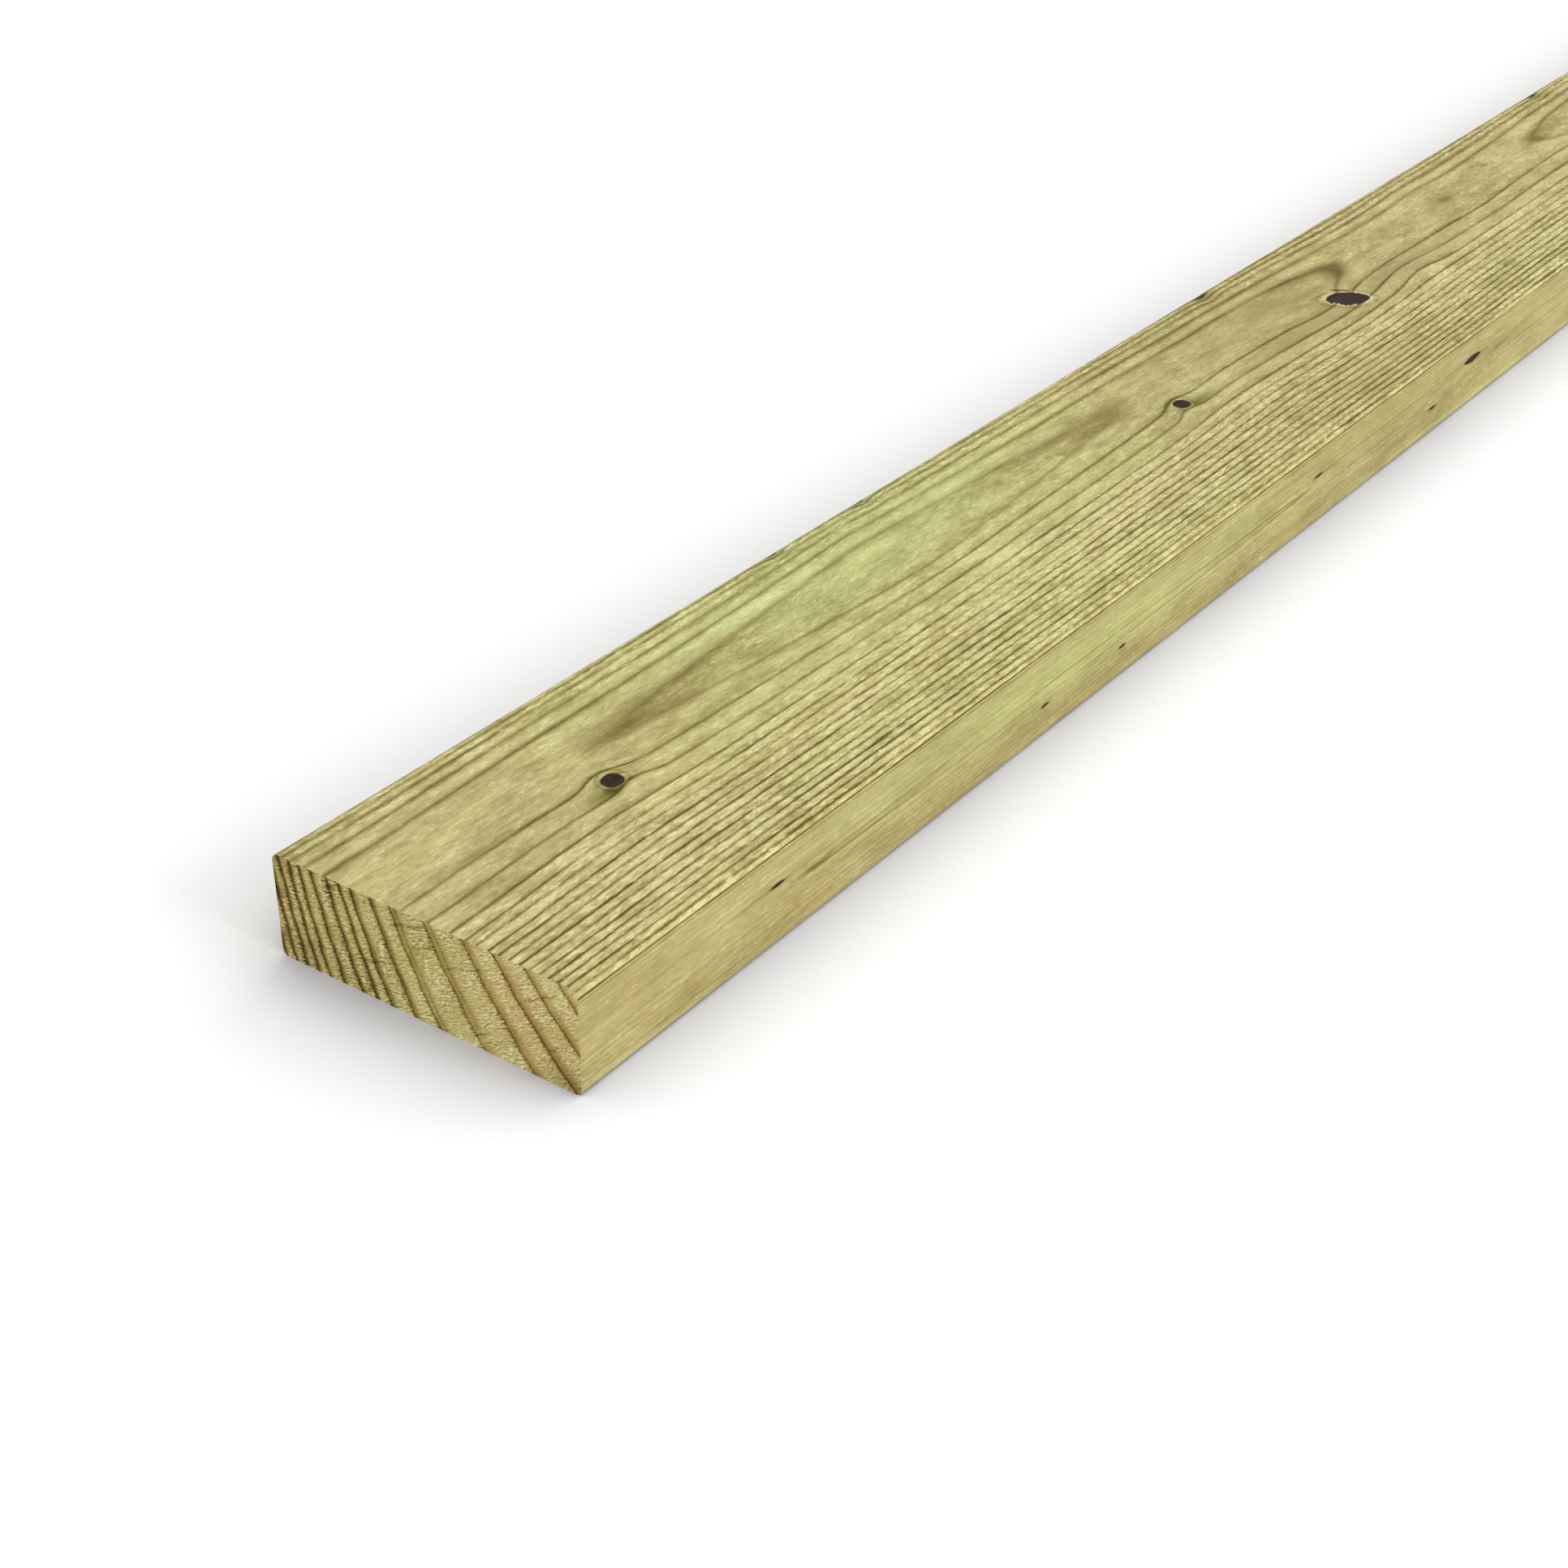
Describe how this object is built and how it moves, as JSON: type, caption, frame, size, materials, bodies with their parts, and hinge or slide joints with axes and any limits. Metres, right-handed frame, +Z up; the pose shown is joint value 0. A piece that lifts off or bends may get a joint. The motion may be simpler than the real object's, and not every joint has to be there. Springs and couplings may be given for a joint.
{
  "type": "timber rafter",
  "caption": "Straight rectangular length of green pressure-treated softwood with eased long edges and square-cut ends, used as a rafter in a pitched roof.",
  "frame": {"origin": "middle of the underside, on the floor", "axes": "+X along the length, +Y across the width, +Z up through the thickness"},
  "size_m": [3, 0.145, 0.045],
  "materials": {
    "treated_softwood": "planed, pressure-treated pale green, with dark growth lines and knots"
  },
  "bodies": {
    "root": {"rafter": "treated_softwood"}
  },
  "joints": []
}
